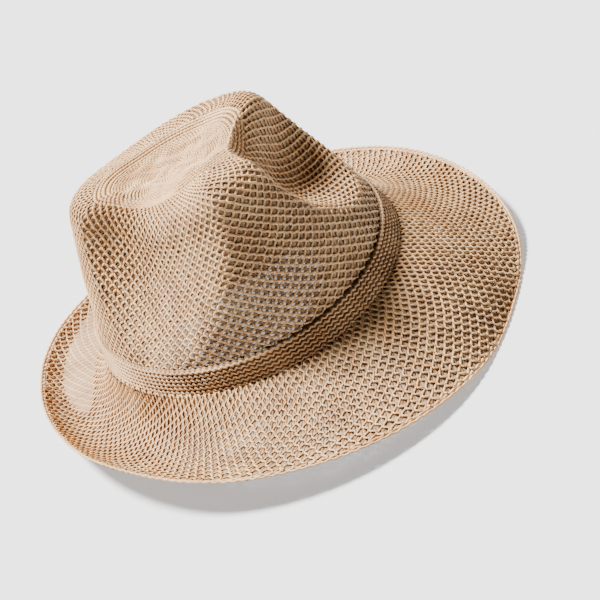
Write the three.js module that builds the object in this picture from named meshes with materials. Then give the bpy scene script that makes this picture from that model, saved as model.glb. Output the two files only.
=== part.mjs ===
import * as THREE from 'three';

// A soft knitted straw hat with a pinched crown, a ribbed band and a wide brim, resting on its brim.
// Millimetres, Z up, front toward -Y. A direction is an angle round the head in degrees:
// 0 at the front, 90 at the wearer's left (+X), 180 at the back, 270 at the wearer's right.

// Head line: the oval outside the band where the brim starts.
const headHalfLength = 102;
const headHalfWidth = 88;
const headLineDip = 3;

// Fabric and the small gap between pieces.
const clothThickness = 1.8;
const pieceGap = 0.3;

// Band.
const bandHeight = 13;
const bandThickness = 2;
const bandEdgeRound = 0.7;

// Crown: each row is where the wall line and the top line would meet before the corner is rounded.
const crownTopHeight = 88;
const crownCornerRound = 13;
const crownWallBulge = 2.5;
const crownCorners = [
  { direction: 0, radius: 70, height: 87 },
  { direction: 45, radius: 58, height: 79 },
  { direction: 90, radius: 59, height: 86 },
  { direction: 135, radius: 78, height: 78 },
  { direction: 180, radius: 72, height: 78 },
  { direction: 225, radius: 65, height: 86 },
  { direction: 270, radius: 53, height: 88 },
  { direction: 315, radius: 68, height: 90 },
];

// Dents pressed into the crown: where the centre lies, how far each reaches over the cloth
// toward the front, the rear, up and down, how deep it is and how far below level it pushes.
const dents = [
  { direction: 52, radius: 67, height: 72, front: 44, rear: 50, up: 33, low: 44, depth: 25, dive: 48 },
  { direction: 298, radius: 60, height: 80, front: 62, rear: 42, up: 36, low: 72, depth: 27, dive: 32 },
  { direction: 180, radius: 6, height: 90, front: 44, rear: 38, up: 38, low: 38, depth: 9, dive: 90 },
];
const dentReachThrough = 70;
const dentEdgePower = 1.3;

// Brim: the slope of each section turns evenly from the head line to the edge, up is positive.
const brimSections = [
  { direction: 0, width: 65, rootSlope: -33, edgeSlope: -24 },
  { direction: 30, width: 66, rootSlope: -28, edgeSlope: -57 },
  { direction: 60, width: 66, rootSlope: -42, edgeSlope: -31 },
  { direction: 90, width: 64, rootSlope: -51, edgeSlope: -5 },
  { direction: 120, width: 61, rootSlope: -57, edgeSlope: 23 },
  { direction: 150, width: 60, rootSlope: -54, edgeSlope: 34 },
  { direction: 180, width: 60, rootSlope: -56, edgeSlope: 33 },
  { direction: 210, width: 60, rootSlope: -62, edgeSlope: 48 },
  { direction: 240, width: 59, rootSlope: -82, edgeSlope: 64 },
  { direction: 270, width: 59, rootSlope: -86, edgeSlope: 68 },
  { direction: 300, width: 60, rootSlope: -62, edgeSlope: 56 },
  { direction: 330, width: 61, rootSlope: -37, edgeSlope: 9 },
];

// Rest: how the hat leans when it stands on its brim, and how far the soft brim gives.
const restPitch = -4.1;
const restRoll = -4.4;
const brimGive = 2.5;

// Facets.
const directionCount = 80;
const crownRowCount = 20;
const brimRowCount = 10;
const bandRowCount = 2;

function sine(degrees) {
  return Math.sin(THREE.MathUtils.degToRad(degrees));
}

function cosine(degrees) {
  return Math.cos(THREE.MathUtils.degToRad(degrees));
}

// A smooth closed curve through one column of a table whose rows lie round the head.
function aroundHead(rows, column, direction) {
  const step = 360 / rows.length;
  const place = THREE.MathUtils.euclideanModulo(direction, 360) / step;
  const index = Math.floor(place) % rows.length;
  const value = (offset) => rows[(index + offset + rows.length) % rows.length][column];
  const part = place - Math.floor(place);
  const startSlope = (value(1) - value(-1)) / 2;
  const endSlope = (value(2) - value(0)) / 2;
  const square = part * part;
  const cube = square * part;
  return (2 * cube - 3 * square + 1) * value(0) + (cube - 2 * square + part) * startSlope
    + (3 * square - 2 * cube) * value(1) + (cube - square) * endSlope;
}

function outward(direction) {
  return new THREE.Vector3(sine(direction), -cosine(direction), 0);
}

function headRadius(direction) {
  return 1 / Math.hypot(cosine(direction) / headHalfLength, sine(direction) / headHalfWidth);
}

function headHeight(direction) {
  return -headLineDip * cosine(2 * direction);
}

// Level direction square to the head line.
function headNormal(direction) {
  const point = outward(direction);
  return new THREE.Vector3(point.x / headHalfWidth ** 2, point.y / headHalfLength ** 2, 0).normalize();
}

function press(point) {
  for (const dent of dents) {
    const out = outward(dent.direction);
    const towardFront = out.clone().cross(new THREE.Vector3(0, 0, dent.direction > 180 ? -1 : 1)).negate();
    const push = out.clone().multiplyScalar(-cosine(dent.dive)).setZ(-sine(dent.dive));
    const upslope = out.clone().multiplyScalar(-sine(dent.dive)).setZ(cosine(dent.dive));
    const centre = out.clone().multiplyScalar(dent.radius).setZ(dent.height);
    const offset = point.clone().sub(centre);
    const along = offset.dot(towardFront);
    const rise = offset.dot(upslope);
    const reach = Math.hypot(
      along / (along > 0 ? dent.front : dent.rear),
      rise / (rise > 0 ? dent.up : dent.low),
      offset.dot(push) / dentReachThrough,
    );
    const share = Math.max(0, 1 - reach ** 2) ** dentEdgePower;
    point.addScaledVector(push, dent.depth * share);
  }
  return point;
}

// The crown's section in one direction: a wall line, a round corner and a top line.
function crownSection(direction) {
  const base = new THREE.Vector2(headRadius(direction) - bandThickness - pieceGap, headHeight(direction));
  const corner = new THREE.Vector2(
    aroundHead(crownCorners, 'radius', direction),
    aroundHead(crownCorners, 'height', direction),
  );
  const centre = new THREE.Vector2(0, crownTopHeight);
  const wall = corner.clone().sub(base);
  const top = centre.clone().sub(corner);
  const turn = Math.acos(wall.dot(top) / (wall.length() * top.length()));
  const cut = crownCornerRound * Math.tan(turn / 2);
  return {
    base,
    corner,
    wallWay: wall.clone().normalize(),
    topWay: top.clone().normalize(),
    cut,
    wallEnd: wall.length() - cut,
    cornerEnd: wall.length() - cut + crownCornerRound * turn,
    length: wall.length() + top.length() - 2 * cut + crownCornerRound * turn,
  };
}

// A point of the crown's outer face, a distance over the cloth above its lower edge.
function crownPoint(direction, distance) {
  const section = crownSection(direction);
  const flat = new THREE.Vector2();
  if (distance < section.wallEnd) {
    flat.copy(section.base).addScaledVector(section.wallWay, distance);
  } else if (distance < section.cornerEnd) {
    const angle = (distance - section.wallEnd) / crownCornerRound;
    const inward = new THREE.Vector2(-section.wallWay.y, section.wallWay.x);
    flat.copy(section.base).addScaledVector(section.wallWay, section.wallEnd);
    flat.addScaledVector(section.wallWay, crownCornerRound * Math.sin(angle));
    flat.addScaledVector(inward, crownCornerRound * (1 - Math.cos(angle)));
  } else {
    flat.copy(section.corner);
    flat.addScaledVector(section.topWay, section.cut + distance - section.cornerEnd);
  }
  const wallShare = THREE.MathUtils.clamp(distance / section.cornerEnd, 0, 1);
  const radius = flat.x + crownWallBulge * Math.sin(Math.PI * wallShare);
  return press(outward(direction).multiplyScalar(radius).setZ(flat.y));
}

// A point of the brim's upper face, a distance over the cloth out from the head line.
function brimPoint(direction, distance) {
  const width = aroundHead(brimSections, 'width', direction);
  const root = THREE.MathUtils.degToRad(aroundHead(brimSections, 'rootSlope', direction));
  const edge = THREE.MathUtils.degToRad(aroundHead(brimSections, 'edgeSlope', direction));
  const point = outward(direction).multiplyScalar(headRadius(direction)).setZ(headHeight(direction));
  if (distance <= 0) {
    return point.addScaledVector(headNormal(direction), distance);
  }
  const bend = (edge - root) / width;
  const slope = root + bend * distance;
  point.addScaledVector(headNormal(direction), (Math.sin(slope) - Math.sin(root)) / bend);
  point.z += (Math.cos(root) - Math.cos(slope)) / bend;
  return point;
}

// Rows of points, each row once round the head.
function grid(rowCount, pointAt) {
  const rows = [];
  for (let row = 0; row <= rowCount; row += 1) {
    const points = [];
    for (let step = 0; step < directionCount; step += 1) {
      points.push(pointAt((360 * step) / directionCount, row / rowCount));
    }
    rows.push(points);
  }
  return rows;
}

// Unit normals of a grid, to the side that the rows' order makes its front.
function gridNormals(rows) {
  return rows.map((points, row) => points.map((point, step) => {
    const before = points[(step + directionCount - 1) % directionCount];
    const after = points[(step + 1) % directionCount];
    const lower = rows[Math.max(row - 1, 0)][step];
    const upper = rows[Math.min(row + 1, rows.length - 1)][step];
    return after.clone().sub(before).cross(upper.clone().sub(lower)).normalize();
  }));
}

// The same grid moved square to its face, forward when the distance is positive.
function offsetFace(rows, distance) {
  const normals = gridNormals(rows);
  return rows.map((points, row) => points.map(
    (point, step) => point.clone().addScaledVector(normals[row][step], distance),
  ));
}

// One closed body from rows that follow each other; a cap point closes an end of the rows,
// and rows without caps close on themselves as a ring.
function closedBody(rows, startCap, endCap) {
  const points = rows.flat();
  const faces = [];
  const at = (row, step) => (row % rows.length) * directionCount + (step % directionCount);
  const strips = startCap ? rows.length - 1 : rows.length;
  for (let row = 0; row < strips; row += 1) {
    for (let step = 0; step < directionCount; step += 1) {
      const corners = [at(row, step), at(row, step + 1), at(row + 1, step + 1), at(row + 1, step)];
      const fold = points[corners[0]].distanceTo(points[corners[2]]);
      const otherFold = points[corners[1]].distanceTo(points[corners[3]]);
      if (fold < otherFold) {
        faces.push(corners[0], corners[1], corners[2], corners[0], corners[2], corners[3]);
      } else {
        faces.push(corners[0], corners[1], corners[3], corners[1], corners[2], corners[3]);
      }
    }
  }
  if (startCap) {
    const start = points.push(startCap) - 1;
    const end = points.push(endCap) - 1;
    for (let step = 0; step < directionCount; step += 1) {
      faces.push(start, at(0, step + 1), at(0, step));
      faces.push(end, at(rows.length - 1, step), at(rows.length - 1, step + 1));
    }
  }
  const geometry = new THREE.BufferGeometry();
  geometry.setFromPoints(points);
  geometry.setIndex(faces);
  return geometry;
}

// Turns points from the head's own frame to the hat at rest.
const restTurn = new THREE.Matrix4().makeRotationY(THREE.MathUtils.degToRad(restRoll))
  .multiply(new THREE.Matrix4().makeRotationX(THREE.MathUtils.degToRad(restPitch)));

function brimLow() {
  const under = offsetFace(grid(brimRowCount, (direction, share) => {
    const width = aroundHead(brimSections, 'width', direction);
    return brimPoint(direction, share * width).applyMatrix4(restTurn);
  }), clothThickness);
  return Math.min(...under.flat().map((point) => point.z));
}

const restLift = -brimGive - brimLow();

function atRest(point) {
  point.applyMatrix4(restTurn);
  point.z += restLift;
  return point;
}

// The crown: a hollow shell, open at the head.
function crown() {
  const outer = grid(crownRowCount, (direction, share) => {
    const length = crownSection(direction).length;
    const low = pieceGap;
    return crownPoint(direction, low + (length - low) * share);
  });
  const inner = offsetFace(outer, -clothThickness);
  outer[0].forEach((point, step) => {
    const level = headNormal((360 * step) / directionCount);
    inner[0][step].copy(point).addScaledVector(level, -clothThickness);
  });
  const tip = outer.pop()[0];
  inner.pop();
  const innerTip = tip.clone();
  innerTip.z -= clothThickness;
  const rows = [...inner.reverse(), ...outer].map((points) => points.map(atRest));
  return closedBody(rows, atRest(innerTip), atRest(tip));
}

// The band: a ribbed strip round the foot of the crown.
function band() {
  const rise = (share) => pieceGap + (bandHeight - pieceGap) * share;
  const wall = grid(bandRowCount, (direction, share) => crownPoint(direction, rise(share)));
  const inner = offsetFace(wall, pieceGap);
  const outer = offsetFace(wall, pieceGap + bandThickness);
  const edges = offsetFace(wall, pieceGap + bandThickness - bandEdgeRound);
  const roundShare = bandEdgeRound / bandHeight;
  const shoulders = offsetFace(grid(1, (direction, share) => {
    return crownPoint(direction, rise(share > 0 ? 1 - roundShare : roundShare));
  }), pieceGap + bandThickness);
  const [low, , high] = edges;
  const rows = [low, shoulders[0], outer[1], shoulders[1], high, ...inner.reverse()];
  return closedBody(rows.map((points) => points.map(atRest)));
}

// The brim: a curved ring whose inner margin lies under the crown and the band.
function brim() {
  const margin = bandThickness + pieceGap + clothThickness;
  const seat = grid(1, (direction, share) => brimPoint(direction, -margin * (1 - share)));
  const skirt = grid(brimRowCount, (direction, share) => {
    return brimPoint(direction, share * aroundHead(brimSections, 'width', direction));
  });
  const upper = [seat[0], ...skirt].map((points) => points.map(atRest));
  upper.flat().forEach((point) => {
    point.z = Math.max(point.z, clothThickness);
  });
  const lower = offsetFace(upper, clothThickness);
  lower.flat().forEach((point) => {
    point.z = Math.max(point.z, 0);
  });
  return closedBody([...lower, ...upper.reverse()]);
}

function material(color, roughness) {
  return new THREE.MeshStandardMaterial({ color, roughness, metalness: 0 });
}

const hat = new THREE.Group();
hat.name = 'straw_hat';

const pieces = [
  { name: 'crown', geometry: crown(), material: material(0xd9bd97, 0.85) },
  { name: 'band', geometry: band(), material: material(0xb7966f, 0.85) },
  { name: 'brim', geometry: brim(), material: material(0xd9bd97, 0.85) },
];

// The origin is under the middle of the hat, on the surface that it rests on.
const box = new THREE.Box3();
for (const piece of pieces) {
  piece.geometry.computeBoundingBox();
  box.union(piece.geometry.boundingBox);
}
const middle = box.getCenter(new THREE.Vector3());
for (const piece of pieces) {
  piece.geometry.translate(-middle.x, -middle.y, -box.min.z);
  piece.geometry.computeVertexNormals();
  const mesh = new THREE.Mesh(piece.geometry, piece.material);
  mesh.name = piece.name;
  hat.add(mesh);
}

export default hat;
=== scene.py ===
import math

import bpy
import numpy as np
from mathutils import Matrix, Vector


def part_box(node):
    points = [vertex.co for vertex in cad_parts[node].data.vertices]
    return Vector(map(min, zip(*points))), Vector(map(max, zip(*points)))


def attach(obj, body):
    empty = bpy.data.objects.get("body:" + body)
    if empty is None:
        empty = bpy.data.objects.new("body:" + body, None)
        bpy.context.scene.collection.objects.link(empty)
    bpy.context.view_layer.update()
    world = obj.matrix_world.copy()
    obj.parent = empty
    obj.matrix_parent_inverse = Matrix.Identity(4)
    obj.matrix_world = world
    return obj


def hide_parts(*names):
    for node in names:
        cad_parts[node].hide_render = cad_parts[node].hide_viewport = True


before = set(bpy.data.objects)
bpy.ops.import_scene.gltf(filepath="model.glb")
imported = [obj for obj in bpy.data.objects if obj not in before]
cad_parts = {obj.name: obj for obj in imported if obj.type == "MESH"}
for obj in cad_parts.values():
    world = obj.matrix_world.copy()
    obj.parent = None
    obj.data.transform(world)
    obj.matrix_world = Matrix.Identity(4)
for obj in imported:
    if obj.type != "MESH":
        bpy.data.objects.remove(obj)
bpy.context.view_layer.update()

# Crown: the hollow that takes the head, of twisted paper-straw cord. It is machine-knitted in the
# round as an open double knit, steamed to shape, and pinched by hand at both front sides and on top.
#
# The hat's shape is in millimetres, in the head's own frame. The head line lies level, the front is
# toward -Y, and a direction is an angle round the head, 0 at the front and 90 at the wearer's left.
# These are the solids' own sizes, so that the knitting lies where the solids are.
MM = 0.001
HEAD_HALF_LENGTH = 102.0
HEAD_HALF_WIDTH = 88.0
HEAD_LINE_DIP = 3.0
BAND_THICKNESS = 2.0
PIECE_GAP = 0.3
CROWN_TOP_HEIGHT = 88.0
CROWN_CORNER_ROUND = 13.0
CROWN_WALL_BULGE = 2.5
CROWN_CORNERS = {
    "radius": (70, 58, 59, 78, 72, 65, 53, 68),
    "height": (87, 79, 86, 78, 78, 86, 88, 90),
}

# The pinches: where each one's middle is, how far it reaches toward the front, the rear, up and
# down, and how deep it goes. "dive" is the angle, under the level, that the cloth is pushed in at.
DENTS = (
    {
        "direction": 52, "radius": 67, "height": 72, "dive": 48,
        "front": 44, "rear": 50, "up": 33, "low": 44, "depth": 25,
    },
    {
        "direction": 298, "radius": 60, "height": 80, "dive": 32,
        "front": 62, "rear": 42, "up": 36, "low": 72, "depth": 27,
    },
    {
        "direction": 180, "radius": 6, "height": 90, "dive": 90,
        "front": 44, "rear": 38, "up": 38, "low": 38, "depth": 9,
    },
)
DENT_REACH_THROUGH = 70.0
DENT_EDGE_POWER = 1.3


# A smooth closed curve through values that stand evenly round the head.
def around_head(column, direction):
    values = np.array(column, float)
    place = np.mod(direction, 360.0) / (360.0 / len(values))
    index = np.floor(place).astype(int)
    part = place - index
    near = [values[(index + offset) % len(values)] for offset in (-1, 0, 1, 2)]
    start_slope = (near[2] - near[0]) / 2
    end_slope = (near[3] - near[1]) / 2
    square = part ** 2
    cube = part ** 3
    return (
        (2 * cube - 3 * square + 1) * near[1] + (cube - 2 * square + part) * start_slope
        + (3 * square - 2 * cube) * near[2] + (cube - square) * end_slope
    )


def outward(direction):
    angle = np.radians(direction)
    return np.stack([np.sin(angle), -np.cos(angle), np.zeros_like(angle)], -1)


def head_radius(direction):
    angle = np.radians(direction)
    return 1 / np.hypot(np.cos(angle) / HEAD_HALF_LENGTH, np.sin(angle) / HEAD_HALF_WIDTH)


def head_height(direction):
    return -HEAD_LINE_DIP * np.cos(2 * np.radians(direction))


def press(points):
    for dent in DENTS:
        angle = math.radians(dent["direction"])
        dive = math.radians(dent["dive"])
        out = np.array([math.sin(angle), -math.cos(angle), 0.0])
        side = 1 if dent["direction"] > 180 else -1
        toward_front = np.array([math.cos(angle), math.sin(angle), 0.0]) * side
        push = np.array([0.0, 0.0, -math.sin(dive)]) - out * math.cos(dive)
        upslope = np.array([0.0, 0.0, math.cos(dive)]) - out * math.sin(dive)
        offset = points - out * dent["radius"] - np.array([0.0, 0.0, dent["height"]])
        along = offset @ toward_front
        rise = offset @ upslope
        reach = (
            (along / np.where(along > 0, dent["front"], dent["rear"])) ** 2
            + (rise / np.where(rise > 0, dent["up"], dent["low"])) ** 2
            + (offset @ push / DENT_REACH_THROUGH) ** 2
        )
        share = np.clip(1 - reach, 0, 1) ** DENT_EDGE_POWER
        points = points + (dent["depth"] * share)[..., None] * push
    return points


# The crown's outline in one direction: a straight wall, a rounded corner and a nearly flat top.
def crown_section(direction):
    base_radius = head_radius(direction) - BAND_THICKNESS - PIECE_GAP
    base = np.stack([base_radius, head_height(direction)], -1)
    corner = np.stack(
        [around_head(CROWN_CORNERS[name], direction) for name in ("radius", "height")], -1,
    )
    wall = corner - base
    top = np.array([0.0, CROWN_TOP_HEIGHT]) - corner
    wall_length = np.linalg.norm(wall, axis=-1)
    top_length = np.linalg.norm(top, axis=-1)
    turn = np.arccos((wall * top).sum(-1) / (wall_length * top_length))
    cut = CROWN_CORNER_ROUND * np.tan(turn / 2)
    wall_end = wall_length - cut
    corner_end = wall_end + CROWN_CORNER_ROUND * turn
    return {
        "base": base,
        "corner": corner,
        "wall_way": wall / wall_length[..., None],
        "top_way": top / top_length[..., None],
        "cut": cut,
        "wall_end": wall_end,
        "corner_end": corner_end,
        "length": corner_end + top_length - cut,
    }


# The crown's outer face, "distance" mm from the head line up the wall and in to the tip's centre.
def crown_face(direction, distance):
    section = crown_section(direction)
    wall_way = section["wall_way"]
    inward = np.stack([-wall_way[..., 1], wall_way[..., 0]], -1)
    angle = (distance - section["wall_end"]) / CROWN_CORNER_ROUND
    on_wall = section["base"] + wall_way * distance[..., None]
    on_corner = (
        section["base"] + wall_way * section["wall_end"][..., None]
        + wall_way * (CROWN_CORNER_ROUND * np.sin(angle))[..., None]
        + inward * (CROWN_CORNER_ROUND * (1 - np.cos(angle)))[..., None]
    )
    past = section["cut"] + distance - section["corner_end"]
    on_top = section["corner"] + section["top_way"] * past[..., None]
    flat = np.where((distance < section["corner_end"])[..., None], on_corner, on_top)
    flat = np.where((distance < section["wall_end"])[..., None], on_wall, flat)
    wall_share = np.clip(distance / section["corner_end"], 0, 1)
    radius = flat[..., 0] + CROWN_WALL_BULGE * np.sin(np.pi * wall_share)
    points = outward(direction) * radius[..., None]
    points[..., 2] = flat[..., 1]
    return press(points)


# From the head's frame to the hat at rest in the shared frame: the lean that it has on its brim,
# then the move that puts the crown's face where the crown's solid is.
REST_PITCH = math.radians(-4.1)
REST_ROLL = math.radians(-4.4)
CROWN_COLUMNS = 80
CROWN_RINGS = 21

rest_turn = np.array(Matrix.Rotation(REST_ROLL, 3, "Y") @ Matrix.Rotation(REST_PITCH, 3, "X"))
around, upward = np.meshgrid(
    np.arange(0, 360, 360 / CROWN_COLUMNS), np.linspace(0, 1, CROWN_RINGS), indexing="ij",
)
crown_length = crown_section(around)["length"]
crown_distance = PIECE_GAP + (crown_length - PIECE_GAP) * upward
crown_points = (crown_face(around, crown_distance) @ rest_turn.T * MM).reshape(-1, 3)
crown_low = crown_points.min(0)
crown_high = crown_points.max(0)
solid_low, solid_high = (np.array(corner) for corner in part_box("crown"))
rest_move = (solid_low + solid_high) / 2 - (crown_low + crown_high) / 2
rest_move[2] = solid_high[2] - crown_high[2]


def at_rest(points):
    return points @ rest_turn.T * MM + rest_move


# Paper straw: a strip of paper twisted to a cord and left uncoated. It is matt and pale, in soft
# patches about 17 mm wide, with fine streaks and a slight relief where the twist shows.
PATCHES_PER_METRE = 60.0
STREAK_SIZE = 0.0009
STREAK_SHARE = 0.5
TWIST_RELIEF = 0.0002
TWIST_STRENGTH = 0.25
STRAW_ROUGHNESS = 0.62
STRAW_SPECULAR = 0.35


def linear(hex_colour):
    channels = [int(hex_colour[start:start + 2], 16) / 255 for start in (1, 3, 5)]
    curve = [c / 12.92 if c <= 0.04045 else ((c + 0.055) / 1.055) ** 2.4 for c in channels]
    return (*curve, 1.0)


def add_node(tree, kind, settings, inputs):
    node = tree.nodes.new(kind)
    for name, value in settings.items():
        setattr(node, name, value)
    for name, value in inputs.items():
        if isinstance(value, bpy.types.NodeSocket):
            tree.links.new(value, node.inputs[name])
        else:
            node.inputs[name].default_value = value
    return node


def straw_material(name, dark, light):
    material = bpy.data.materials.new(name)
    material.use_nodes = True
    tree = material.node_tree
    shader = tree.nodes["Principled BSDF"]
    place = add_node(tree, "ShaderNodeTexCoord", {}, {}).outputs["Object"]
    patches = add_node(
        tree, "ShaderNodeTexNoise", {},
        {"Vector": place, "Scale": PATCHES_PER_METRE, "Detail": 3.0},
    )
    streaks = add_node(
        tree, "ShaderNodeTexNoise", {}, {"Vector": place, "Scale": 1 / STREAK_SIZE, "Detail": 2.0},
    )
    both = add_node(
        tree, "ShaderNodeMath", {"operation": "MULTIPLY_ADD"},
        {0: streaks.outputs["Fac"], 1: STREAK_SHARE, 2: patches.outputs["Fac"]},
    )
    span = add_node(
        tree, "ShaderNodeMapRange", {},
        {"Value": both.outputs["Value"], "From Min": 0.5, "From Max": 1.0},
    )
    colour = add_node(
        tree, "ShaderNodeMixRGB", {},
        {"Fac": span.outputs["Result"], "Color1": linear(dark), "Color2": linear(light)},
    )
    tree.links.new(colour.outputs["Color"], shader.inputs["Base Color"])
    bump = add_node(
        tree, "ShaderNodeBump", {},
        {"Height": streaks.outputs["Fac"], "Strength": TWIST_STRENGTH, "Distance": TWIST_RELIEF},
    )
    tree.links.new(bump.outputs["Normal"], shader.inputs["Normal"])
    shader.inputs["Roughness"].default_value = STRAW_ROUGHNESS
    shader.inputs["Specular IOR Level"].default_value = STRAW_SPECULAR
    return material


# The back layer's cord is painted darker and browner than the front one, as painted shade in the
# holes of the front one, through which alone it is seen.
straw = straw_material("paper_straw_cord", "#B8895C", "#DAB27F")
shade_painted_inner_straw = straw_material("paper_straw_inner_cord_painted_shade", "#75573A", "#A4825D")


# How the face lies, found from points a little way off, in degrees round and in mm along.
PROBE = 0.25


def face_normals(face, direction, distance):
    across = face(direction + PROBE, distance) - face(direction - PROBE, distance)
    along = face(direction, distance + PROBE) - face(direction, distance - PROBE)
    normal = np.cross(across, along)
    return normal / np.linalg.norm(normal, axis=-1, keepdims=True)


def mm_per_degree(face, direction, distance):
    across = face(direction + PROBE, distance) - face(direction - PROBE, distance)
    return np.linalg.norm(across, axis=-1) / (2 * PROBE)


# All cords of one piece, each a four-cornered tube with its rings bent along it. What would lie
# under the floor is lifted onto it, because the soft brim is flattened where it rests.
FLOOR_CLEARANCE = 0.0003


def lay_cords(name, node, centres, normals, half_width, cord, closed):
    half_depth = cord["half_depth"] * MM
    centres = at_rest(centres)
    normals = normals @ rest_turn.T
    lowest = FLOOR_CLEARANCE + half_depth
    normals[centres[..., 2] < lowest] = (0.0, 0.0, -1.0)
    centres[..., 2] = np.maximum(centres[..., 2], lowest)
    if closed:
        ahead = np.roll(centres, -1, axis=1) - np.roll(centres, 1, axis=1)
    else:
        ahead = np.gradient(centres, axis=1)
    ahead /= np.linalg.norm(ahead, axis=-1, keepdims=True)
    out = normals - (normals * ahead).sum(-1, keepdims=True) * ahead
    out /= np.linalg.norm(out, axis=-1, keepdims=True)
    side = np.cross(ahead, out)
    side *= np.broadcast_to(half_width, centres.shape[:2])[..., None] * MM
    out *= half_depth
    rings = np.stack([centres + side, centres + out, centres - side, centres - out], 2)
    rings[..., 2] = np.maximum(rings[..., 2], FLOOR_CLEARANCE)

    index = np.arange(rings.size // 3).reshape(rings.shape[:3])
    here = index if closed else index[:, :-1]
    after = np.roll(index, -1, axis=1) if closed else index[:, 1:]
    walls = np.stack([here, after, np.roll(after, -1, axis=2), np.roll(here, -1, axis=2)], -1)
    quads = walls.reshape(-1, 4)
    if not closed:
        quads = np.concatenate([quads, index[:, 0], index[:, -1, ::-1]])

    mesh = bpy.data.meshes.new(name)
    mesh.vertices.add(rings.size // 3)
    mesh.vertices.foreach_set("co", rings.astype(np.float32).ravel())
    mesh.loops.add(quads.size)
    mesh.loops.foreach_set("vertex_index", quads.astype(np.int32).ravel())
    mesh.polygons.add(len(quads))
    mesh.polygons.foreach_set("loop_start", np.arange(0, quads.size, 4, dtype=np.int32))
    mesh.polygons.foreach_set("use_smooth", np.ones(len(quads), dtype=bool))
    mesh.update(calc_edges=True)
    mesh.materials.append(cord["material"])
    piece = bpy.data.objects.new(name, mesh)
    bpy.context.scene.collection.objects.link(piece)
    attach(piece, "root")
    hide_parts(node)


# The left front of the hat is stretched more than the rest, so its holes are open there: 0 in the
# middle of that patch and 1 outside it.
STRETCH_DIRECTION = 335
STRETCH_HALF_ANGLE = 40
STRETCH_DISTANCE = 28
STRETCH_HALF_HEIGHT = 25
STRETCH_RISE = 0.25
STRETCH_EDGE = 2


def closeness(direction, distance):
    aside = np.mod(direction - STRETCH_DIRECTION + 180, 360) - 180
    above = distance - STRETCH_DISTANCE - STRETCH_RISE * aside
    reach = (aside / STRETCH_HALF_ANGLE) ** 2 + (above / STRETCH_HALF_HEIGHT) ** 2
    return 1 - np.clip(STRETCH_EDGE * (1 - reach), 0, 1)


# An open knit: cords run across the rounds. Each waves from side to side, its neighbours wave the
# other way, and they link where they meet, which leaves staggered holes. The cells may lean round
# the head ("lean" cells per mm, none at "lean_at") and climb by "slant" waves in a full turn.
SHORTEST_STEP = 0.02


def open_knit(name, node, face, start, end, knit, cord):
    cells = knit["cells"]
    steps = knit["steps_per_wave"]
    strand = np.arange(2 * cells)[:, None]
    sign = np.where(strand % 2 == 0, 1, -1)
    rate = knit["waves_per_mm"] - knit["slant"] * knit["lean"] / cells
    first = knit["slant"] * strand / 2 / cells + cord["phase"]
    middle_way = 360 * (strand / 2 - knit["lean"] * knit["lean_at"]) / cells
    high = end(middle_way)
    count = int((high - start).max() * rate * steps) + 3
    step_number = np.arange(count)[None, :]
    base = np.ceil((first + rate * start) * steps - 0.5)
    distance = ((base + step_number + 0.5) / steps - first) / rate
    distance = np.maximum(distance, start + SHORTEST_STEP * step_number)
    distance = np.minimum(distance, high - SHORTEST_STEP * (count - 1 - step_number))
    phase = 2 * np.pi * (first + rate * distance)
    wave = np.clip(np.cos(phase) / math.cos(math.pi / steps), -1, 1) * sign
    over = -np.sin(phase) * sign
    line = 360 * (strand / 2 - knit["lean"] * distance) / cells
    degree = mm_per_degree(face, line, distance)
    half_width = cord["half_width"] + cord["fill"] * closeness(line, distance)
    room = degree * 360 / (4 * cells) - cord["link"] * cord["half_width"]
    wander = np.random.default_rng(cord["seed"]).normal(0, cord["wander"], (3, *line.shape))
    direction = line + (np.maximum(room, 0) * wave + wander[0]) / degree
    distance = distance + wander[1]
    normals = face_normals(face, direction, distance)
    height = cord["level"] + cord["hump"] * over + 0.5 * wander[2]
    centres = face(direction, distance) + normals * height[..., None]
    lay_cords(name, node, centres, normals, half_width, cord, False)


# A circle on the crown, "radius" mm from the tip's centre along the cloth.
def tip_circle(radius):
    def distance(direction):
        return crown_section(direction)["length"] - radius
    return distance


# The crown's two layers. The back cords lie behind the holes of the front ones, so that only small
# chinks stay open. Sizes in mm: "level" is how far a cord's middle stands off the solid's face.
CROWN_ROOT = 1.0
TIP_RADIUS = 46.0
crown_cells = {
    "cells": 84, "steps_per_wave": 4, "waves_per_mm": 0.19, "slant": 0, "lean": 0.0, "lean_at": 0.0,
}
front_cord = {
    "half_width": 0.6, "half_depth": 0.45, "fill": 0.1, "level": -0.5, "hump": -0.4, "link": 0.6,
    "phase": 0.0, "wander": 0.17, "seed": 1, "material": straw, "slot": "straw_knit",
}
back_cord = {
    **front_cord, "half_width": 0.8, "half_depth": 0.4, "fill": 0.85, "level": -1.3, "hump": 0.1,
    "phase": 0.5, "seed": 2, "material": shade_painted_inner_straw,
}
crown_end = tip_circle(TIP_RADIUS)
open_knit("crown_front_cords", "crown", crown_face, CROWN_ROOT, crown_end, crown_cells, front_cord)
open_knit("crown_back_cords", "crown", crown_face, CROWN_ROOT, crown_end, crown_cells, back_cord)


# Tip: the round where the knitting starts, of the same cord, plain and close, inside four raised
# ridges. It is knitted in one with the crown and lies in soft folds where the hat was packed.
RIDGES_RADIUS = 35.0
PLAIN_RADIUS = 16.0
TIP_HOLE_RADIUS = 1.0
FOLD_HEIGHT = 0.9
FOLD_FADE = 8.0
FOLD_ACROSS = 16.0
FOLD_ALONG = 21.0

ridges_end = tip_circle(RIDGES_RADIUS)
plain_middle = tip_circle(PLAIN_RADIUS)
plain_end = tip_circle(TIP_HOLE_RADIUS)


def tip_face(direction, distance):
    points = crown_face(direction, distance)
    inside = np.clip((distance - ridges_end(direction)) / FOLD_FADE, 0, 1)
    along = 2 * np.pi * points[..., 1] / FOLD_ALONG
    across = 2 * np.pi * points[..., 0] / FOLD_ACROSS + np.sin(along + 1)
    points[..., 2] += FOLD_HEIGHT * inside * np.sin(across) * np.cos(along)
    return points


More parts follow.
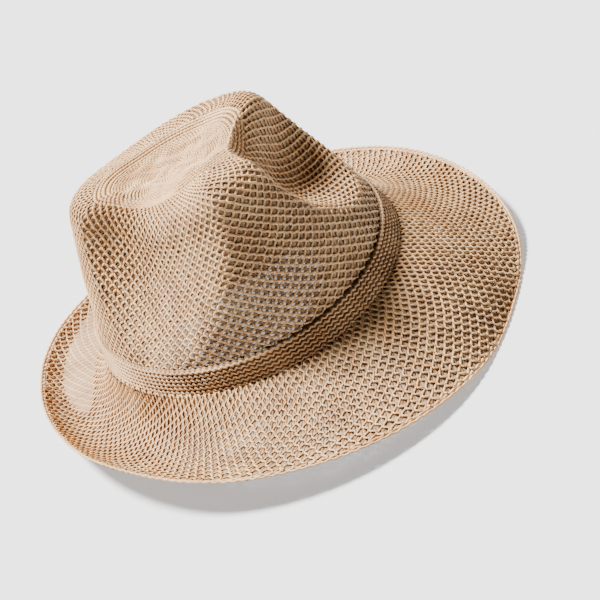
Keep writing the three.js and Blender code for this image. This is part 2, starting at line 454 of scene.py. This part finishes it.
# A close knit: rows of wavy cord that run round the head. "swing" is the wave's height in rows, and
# "stagger" is how far, in waves, each row is shifted against the one below.
def close_knit(name, node, face, start, end, rows, cord):
    steps = rows["cells"] * rows["steps_per_wave"]
    step_number = np.arange(steps)[None, :]
    row = np.arange(rows["count"])[:, None]
    direction = 360 * step_number / steps + 0 * row
    low = start(direction)
    spacing = (end(direction) - low) / rows["count"]
    angle = 2 * np.pi * (step_number / rows["steps_per_wave"] + rows["stagger"] * row)
    wander = np.random.default_rng(cord["seed"]).normal(0, cord["wander"], (2, *direction.shape))
    distance = low + (row + 0.5 + cord["swing"] * np.cos(angle)) * spacing + wander[0]
    normals = face_normals(face, direction, distance)
    height = cord["level"] + cord["hump"] * np.sin(angle) + wander[1]
    centres = face(direction, distance) + normals * height[..., None]
    lay_cords(name, node, centres, normals, cord["half_width"], cord, True)


ridge_rows = {"cells": 110, "steps_per_wave": 4, "count": 4, "stagger": 0.0}
ridge_cord = {
    **front_cord, "half_width": 1.15, "half_depth": 0.7, "level": -0.75, "hump": 0.2,
    "swing": 0.16, "wander": 0.06,
}
outer_rows = {"cells": 96, "steps_per_wave": 4, "count": 13, "stagger": 0.5}
inner_rows = {"cells": 42, "steps_per_wave": 4, "count": 10, "stagger": 0.5}
plain_cord = {
    **front_cord, "half_width": 0.85, "half_depth": 0.5, "level": -0.6, "hump": 0.3,
    "swing": 0.34, "wander": 0.08,
}
close_knit("tip_ridges", "crown", crown_face, crown_end, ridges_end, ridge_rows, ridge_cord)
close_knit("tip_plain_outer", "crown", tip_face, ridges_end, plain_middle, outer_rows, plain_cord)
close_knit("tip_plain_inner", "crown", tip_face, plain_middle, plain_end, inner_rows, plain_cord)


# Band: six close rows of stitches round the foot of the crown, of the same cord painted slightly
# darker as painted shade. They are knitted in one with the crown and the brim, and draw the cloth in
# to the head.
BAND_FOOT = -0.9
BAND_HEIGHT = 13.0


def band_foot(direction):
    return BAND_FOOT + 0 * direction


def band_top(direction):
    return BAND_HEIGHT + 0 * direction


# The band's cord is painted darker than the crown's: painted shade for the band, which lies in shade.
rib_straw_painted_shade = straw_material("paper_straw_rib_cord_painted_shade", "#A67C53", "#CAA276")
band_rows = {"cells": 170, "steps_per_wave": 4, "count": 6, "stagger": 0.0}
band_cord = {
    **front_cord, "half_width": 0.72, "half_depth": 0.65, "level": 1.0, "hump": 0.25,
    "swing": 0.26, "wander": 0.07, "material": rib_straw_painted_shade, "slot": "straw_rib",
}
# The band's ground, behind its rows, is of the back layer's cord with its painted shade.
ground_cord = {
    **band_cord, "half_width": 1.6, "half_depth": 0.3, "level": 0.3, "hump": 0.0,
    "material": shade_painted_inner_straw,
}
close_knit("band_rows", "band", crown_face, band_foot, band_top, band_rows, band_cord)
close_knit("band_ground", "band", crown_face, band_foot, band_top, band_rows, ground_cord)


# Brim: the soft brim, of the same cord and the same open double knit, with two close rows that bind
# its edge. It is shaped by hand, low at the front and turned up at the sides and the back.
#
# Its sections stand every 30 degrees: how wide it is, and its slope in degrees at the root and edge.
BRIM_SECTIONS = {
    "width": (65, 66, 66, 64, 61, 60, 60, 60, 59, 59, 60, 61),
    "root_slope": (-33, -28, -42, -51, -57, -54, -56, -62, -82, -86, -62, -37),
    "edge_slope": (-24, -57, -31, -5, 23, 34, 33, 48, 64, 68, 56, 9),
}
BRIM_ROOT = -4.0
BRIM_EDGE_WIDTH = 3.2


# The brim's upper face, "distance" mm from the head line out along the cloth.
def brim_face(direction, distance):
    width = around_head(BRIM_SECTIONS["width"], direction)
    root = np.radians(around_head(BRIM_SECTIONS["root_slope"], direction))
    edge = np.radians(around_head(BRIM_SECTIONS["edge_slope"], direction))
    bend = (edge - root) / width
    slope = root + bend * np.maximum(distance, 0)
    out = (np.sin(slope) - np.sin(root)) / bend + np.minimum(distance, 0)
    points = outward(direction) * head_radius(direction)[..., None]
    normal = points / np.array([HEAD_HALF_WIDTH, HEAD_HALF_LENGTH, 1.0]) ** 2
    normal /= np.linalg.norm(normal, axis=-1, keepdims=True)
    points += normal * out[..., None]
    points[..., 2] = head_height(direction) + (np.cos(root) - np.cos(slope)) / bend
    return points


def brim_edge(direction):
    return around_head(BRIM_SECTIONS["width"], direction)


def brim_knit_end(direction):
    return brim_edge(direction) - BRIM_EDGE_WIDTH


brim_cells = {
    "cells": 150, "steps_per_wave": 4, "waves_per_mm": 0.15,
    "slant": -50, "lean": 0.05, "lean_at": 30.0,
}
brim_front = {**front_cord, "level": 0.5, "hump": -0.4, "seed": 3}
brim_back = {**back_cord, "half_width": 1.3, "level": 1.35, "hump": -0.1, "seed": 4}
edge_rows = {"cells": 210, "steps_per_wave": 4, "count": 2, "stagger": 0.5}
edge_cord = {
    **front_cord, "half_width": 0.85, "half_depth": 0.6, "level": 0.9, "hump": -0.2,
    "swing": 0.14, "wander": 0.07, "seed": 5,
}
open_knit("brim_front_cords", "brim", brim_face, BRIM_ROOT, brim_knit_end, brim_cells, brim_front)
open_knit("brim_back_cords", "brim", brim_face, BRIM_ROOT, brim_knit_end, brim_cells, brim_back)
close_knit("brim_edge_rows", "brim", brim_face, brim_knit_end, brim_edge, edge_rows, edge_cord)


# Floor: a wide board painted matt white, lit a little by itself, so that it stays pale all over.
FLOOR_HALF = 6.0
FLOOR_GLOW = 0.55
FLOOR_ROUGHNESS = 0.9

floor_corners = [(x * FLOOR_HALF, y * FLOOR_HALF, 0) for x, y in ((-1, -1), (1, -1), (1, 1), (-1, 1))]
floor_mesh = bpy.data.meshes.new("floor")
floor_mesh.from_pydata(floor_corners, [], [(0, 1, 2, 3)])
floor_paint = bpy.data.materials.new("matt_white_paint")
floor_paint.use_nodes = True
floor_shader = floor_paint.node_tree.nodes["Principled BSDF"]
floor_shader.inputs["Base Color"].default_value = linear("#BCBCBC")
floor_shader.inputs["Emission Color"].default_value = (1.0, 1.0, 1.0, 1.0)
floor_shader.inputs["Emission Strength"].default_value = FLOOR_GLOW
floor_shader.inputs["Roughness"].default_value = FLOOR_ROUGHNESS
floor_mesh.materials.append(floor_paint)
floor = bpy.data.objects.new("floor", floor_mesh)
bpy.context.scene.collection.objects.link(floor)


# Camera: the photo's view of the hat, worked out in the head's frame from the oval of the band. It
# is rolled, because the hat in the photo leans to the left and this one lies by itself.
VIEW_AZIMUTH = math.radians(-15.0)
VIEW_ELEVATION = math.radians(26.4)
VIEW_ROLL = math.radians(32.3)
VIEW_DISTANCE = 1000.0
MM_PER_PIXEL = 0.545
HEAD_CENTRE_PIXEL = (248.0, 283.0)
PICTURE_WIDTH = 600.0
SENSOR_WIDTH = 36.0
CAMERA_REACH = 20.0

back = np.array([
    math.sin(VIEW_AZIMUTH) * math.cos(VIEW_ELEVATION),
    -math.cos(VIEW_AZIMUTH) * math.cos(VIEW_ELEVATION),
    math.sin(VIEW_ELEVATION),
])
level_right = np.array([math.cos(VIEW_AZIMUTH), math.sin(VIEW_AZIMUTH), 0.0])
level_up = np.cross(back, level_right)
picture_right = math.cos(VIEW_ROLL) * level_right - math.sin(VIEW_ROLL) * level_up
picture_up = math.sin(VIEW_ROLL) * level_right + math.cos(VIEW_ROLL) * level_up
focal_pixels = VIEW_DISTANCE / MM_PER_PIXEL
centre_right = (PICTURE_WIDTH / 2 - HEAD_CENTRE_PIXEL[0]) / focal_pixels
centre_down = (PICTURE_WIDTH / 2 - HEAD_CENTRE_PIXEL[1]) / focal_pixels
camera_back = back - centre_right * picture_right + centre_down * picture_up
camera_back = rest_turn @ camera_back / np.linalg.norm(camera_back)
camera_up = rest_turn @ picture_up
camera_up = camera_up - camera_up.dot(camera_back) * camera_back
camera_up /= np.linalg.norm(camera_up)
camera_right = np.cross(camera_up, camera_back)
camera_place = at_rest(back * VIEW_DISTANCE)

camera_data = bpy.data.cameras.new("camera")
camera_data.sensor_width = SENSOR_WIDTH
camera_data.lens = focal_pixels * SENSOR_WIDTH / PICTURE_WIDTH
camera_data.clip_end = CAMERA_REACH
camera = bpy.data.objects.new("camera", camera_data)
turned = Matrix([list(camera_right), list(camera_up), list(camera_back)]).transposed()
camera.matrix_world = Matrix.Translation(Vector(camera_place)) @ turned.to_4x4()
bpy.context.scene.collection.objects.link(camera)
bpy.context.scene.camera = camera


# Light: one wide soft lamp, far off above the picture's upper left, and a weak even white sky. The
# lamp's direction is given as seen from the camera.
KEY_RIGHT = -0.74
KEY_UP = 0.64
KEY_BACK = 0.08
KEY_STRENGTH = 20.0
KEY_SPREAD = math.radians(14.0)
KEY_DISTANCE = 2.0
SKY_STRENGTH = 0.05

key_way = Vector(KEY_RIGHT * camera_right + KEY_UP * camera_up + KEY_BACK * camera_back).normalized()
key_data = bpy.data.lights.new("key_lamp", "SUN")
key_data.energy = KEY_STRENGTH
key_data.angle = KEY_SPREAD
key_lamp = bpy.data.objects.new("key_lamp", key_data)
key_lamp.location = key_way * KEY_DISTANCE
key_lamp.rotation_euler = key_way.to_track_quat("Z", "Y").to_euler()
bpy.context.scene.collection.objects.link(key_lamp)

sky = bpy.data.worlds.new("sky")
sky.use_nodes = True
sky_paint = sky.node_tree.nodes["Background"]
sky_paint.inputs["Color"].default_value = (1.0, 1.0, 1.0, 1.0)
sky_paint.inputs["Strength"].default_value = SKY_STRENGTH
bpy.context.scene.world = sky
